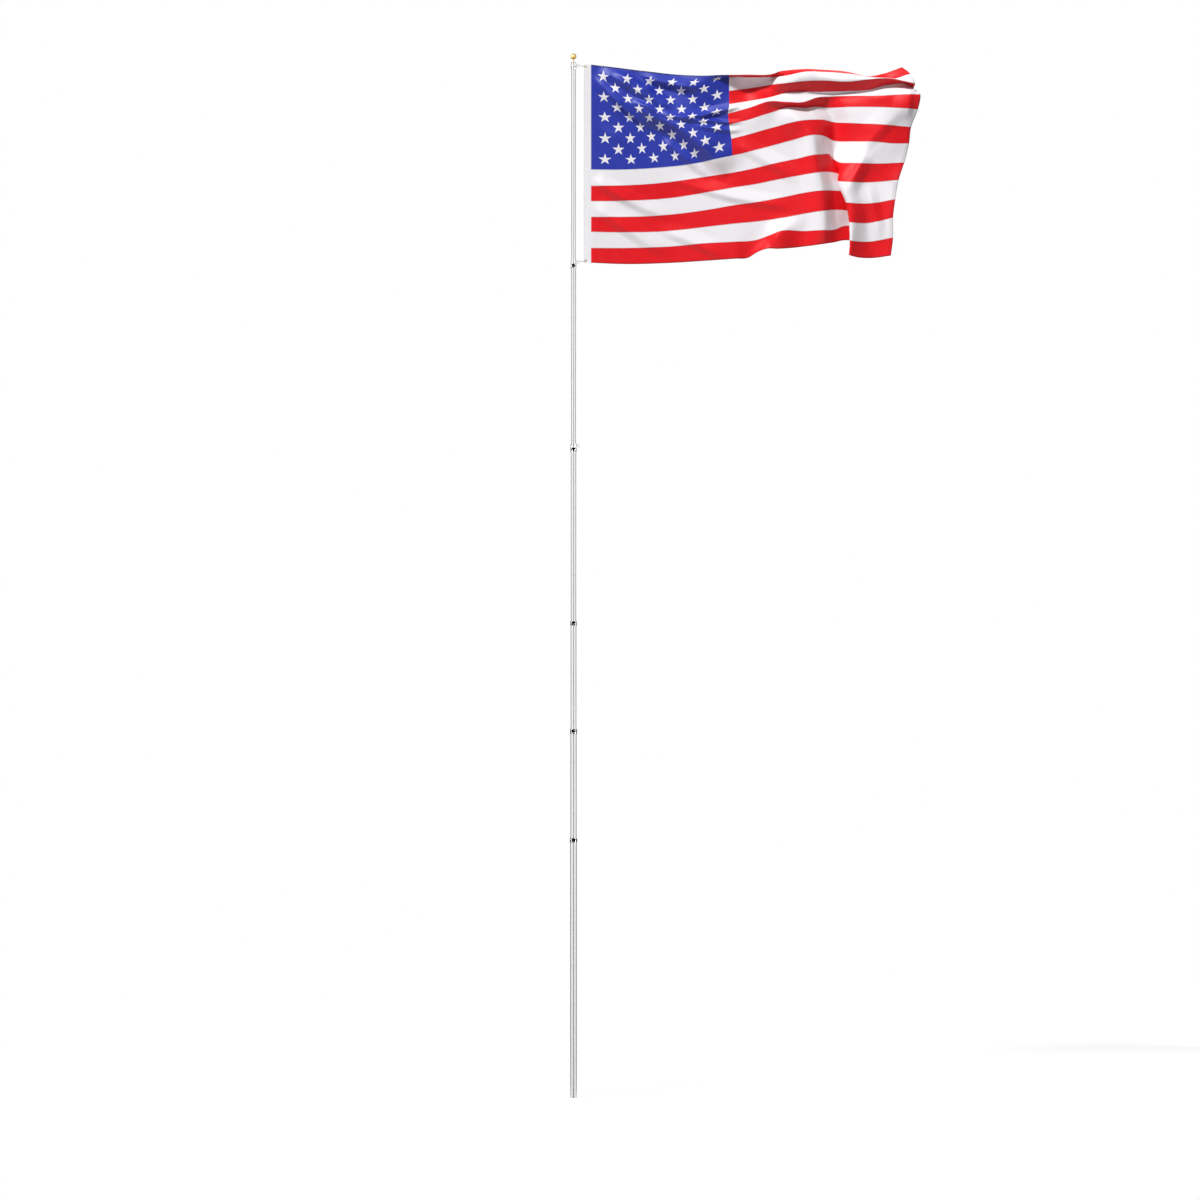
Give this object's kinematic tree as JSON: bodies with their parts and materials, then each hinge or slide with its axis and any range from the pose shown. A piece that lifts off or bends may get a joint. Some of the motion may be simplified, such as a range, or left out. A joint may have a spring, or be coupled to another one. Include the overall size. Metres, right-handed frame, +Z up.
{
  "type": "telescoping flagpole",
  "caption": "Telescoping aluminium flagpole with clear joint collars, a gold ball on top and a striped flag with stars clipped to turning rings.",
  "frame": {"origin": "the middle of the flat base end, on the pole's axis, at ground level", "axes": "+Z up along the pole; +X is the way the flag flies at rest; -Y faces the viewer"},
  "size_m": [3.0683, 0.1948, 9.14],
  "materials": {
    "aluminium": "satin",
    "clear_plastic": "gloss",
    "black_plastic": "gloss",
    "gold": "polished",
    "dark_steel": "satin",
    "bright_steel": "satin",
    "brass": "satin",
    "webbing": "matte",
    "flag_cloth": "satin"
  },
  "bodies": {
    "base": {"base_plug": "black_plastic", "tube_1": "aluminium", "bush_1": "black_plastic", "collar_1": "clear_plastic"},
    "section_2": {"tube_2": "aluminium", "bush_2": "black_plastic", "collar_2": "clear_plastic"},
    "section_3": {"tube_3": "aluminium", "bush_3": "black_plastic", "collar_3": "clear_plastic"},
    "section_4": {"tube_4": "aluminium", "bush_4": "black_plastic", "collar_4": "clear_plastic"},
    "section_5": {"tube_5": "aluminium", "bush_5": "black_plastic", "collar_5": "clear_plastic"},
    "section_6": {"tube_6": "aluminium", "top_cap": "clear_plastic", "finial_nut": "dark_steel", "finial_stem": "gold", "finial_ball": "gold", "stop_ring": "clear_plastic", "stop_screw": "dark_steel"},
    "upper_swivel": {"upper_ring": "clear_plastic", "upper_hook": "bright_steel", "upper_hook_gate": "bright_steel", "upper_grommet": "brass", "flag_header": "webbing", "flag": "flag_cloth"},
    "lower_swivel": {"lower_ring": "clear_plastic", "lower_hook": "bright_steel", "lower_hook_gate": "bright_steel", "lower_grommet": "brass"},
    "spare_swivel": {"spare_ring": "clear_plastic"}
  },
  "joints": [
    {"name": "section_2_slide", "type": "slide", "parent": "base", "child": "section_2", "axis": [0, 0, 1], "range_m": [-0.904, 0]},
    {"name": "section_3_slide", "type": "slide", "parent": "section_2", "child": "section_3", "axis": [0, 0, 1], "range_m": [-0.896, 0]},
    {"name": "section_4_slide", "type": "slide", "parent": "section_3", "child": "section_4", "axis": [0, 0, 1], "range_m": [-1.473, 0]},
    {"name": "section_5_slide", "type": "slide", "parent": "section_4", "child": "section_5", "axis": [0, 0, 1], "range_m": [-1.531, 0]},
    {"name": "section_6_slide", "type": "slide", "parent": "section_5", "child": "section_6", "axis": [0, 0, 1], "range_m": [-1.669, 0], "deforming": ["flag", "flag_header"]},
    {"name": "upper_swivel_turn", "type": "hinge", "parent": "section_6", "child": "upper_swivel", "pos_m": [0, 0, 9.03725], "axis": [0, 0, 1], "continuous": true},
    {"name": "lower_swivel_turn", "type": "hinge", "parent": "section_5", "child": "lower_swivel", "pos_m": [0, 0, 7.31665], "axis": [0, 0, 1], "continuous": true},
    {"name": "spare_swivel_turn", "type": "hinge", "parent": "section_4", "child": "spare_swivel", "pos_m": [0, 0, 5.70865], "axis": [0, 0, 1], "continuous": true}
  ],
  "couplings": [
    {"joint": "lower_swivel_turn", "follows": "upper_swivel_turn", "ratio": 1}
  ]
}
